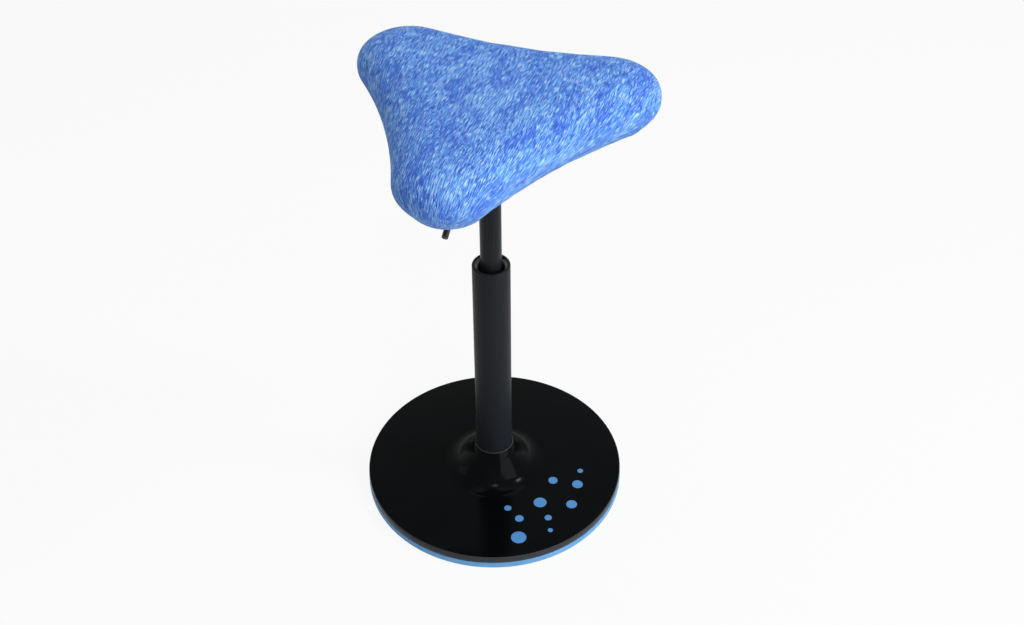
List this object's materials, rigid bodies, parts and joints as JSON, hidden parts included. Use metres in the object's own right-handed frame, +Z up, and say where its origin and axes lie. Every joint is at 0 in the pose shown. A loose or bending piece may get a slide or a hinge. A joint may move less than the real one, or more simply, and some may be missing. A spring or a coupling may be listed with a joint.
{
  "type": "perch stool",
  "caption": "Height-adjustable perch stool with a three-lobed padded seat, telescopic gas-spring column, release lever and weighted round base on a rubber ring.",
  "frame": {"origin": "middle of the base's underside, on the floor plane, where the column's axis meets it", "axes": "+Z up along the column; the seat's front lobe and the height lever point to -Y"},
  "size_m": [0.39, 0.395, 0.652],
  "materials": {
    "ring_rubber": "satin",
    "base_plastic": "satin",
    "column_coat": "satin",
    "cylinder_coat": "satin",
    "bush_plastic": "gloss",
    "black_plastic": "matte",
    "black_rubber": "matte",
    "black_steel": "satin",
    "bare_steel": "brushed",
    "bearing_steel": "polished",
    "zinc_screws": "satin",
    "brass_valve": "satin",
    "plywood": "matte",
    "foam": "matte",
    "knit_fabric": "woven",
    "black_fleece": "matte"
  },
  "bodies": {
    "base": {"foot_ring": "ring_rubber", "base_plate": "bare_steel", "base_cover": "base_plastic", "cover_screws": "zinc_screws", "column_socket": "bare_steel", "socket_screws": "zinc_screws", "bottom_cap": "black_plastic", "column_tube": "column_coat", "tube_end_plate": "bare_steel", "guide_bush": "bush_plastic", "lower_race": "bearing_steel", "bearing_balls": "bearing_steel", "ball_cage": "bush_plastic"},
    "spring_rod": {"upper_race": "bearing_steel", "piston_rod": "bearing_steel", "clip_washer": "zinc_screws", "retaining_clip": "zinc_screws", "rubber_buffer": "black_rubber", "piston": "bearing_steel", "piston_seal": "black_rubber"},
    "seat": {"gas_cylinder": "cylinder_coat", "rod_guide": "bare_steel", "rod_seal": "black_rubber", "valve_body": "brass_valve", "taper_hub": "black_steel", "seat_plate": "black_steel", "lever_bracket": "black_steel", "lever_pivot": "zinc_screws", "seat_board": "plywood", "threaded_inserts": "zinc_screws", "seat_washers": "zinc_screws", "seat_bolts": "zinc_screws", "seat_foam": "foam", "seat_cover": "knit_fabric", "dust_cover": "black_fleece"},
    "lever": {"lever_rod": "black_steel", "lever_sleeve": "black_plastic"},
    "pin": {"release_pin": "bearing_steel"}
  },
  "joints": [
    {"name": "seat_swivel", "type": "hinge", "parent": "base", "child": "spring_rod", "pos_m": [0, 0, 0], "axis": [0, 0, 1], "continuous": true},
    {"name": "seat_height", "type": "slide", "parent": "spring_rod", "child": "seat", "axis": [0, 0, 1], "range_m": [-0.125, 0.13]},
    {"name": "height_lever", "type": "hinge", "parent": "seat", "child": "lever", "pos_m": [0, -0.025, 0.5692], "axis": [-1, 0, 0], "range_deg": [0, 5], "stiffness_Nm_per_rad": 0.6, "springref_deg": -11.46},
    {"name": "pin_stroke", "type": "slide", "parent": "seat", "child": "pin", "axis": [0, 0, -1], "range_m": [0, 0.0025]}
  ],
  "couplings": [
    {"joint": "pin_stroke", "follows": "height_lever", "m_per_rad": 0.025}
  ]
}
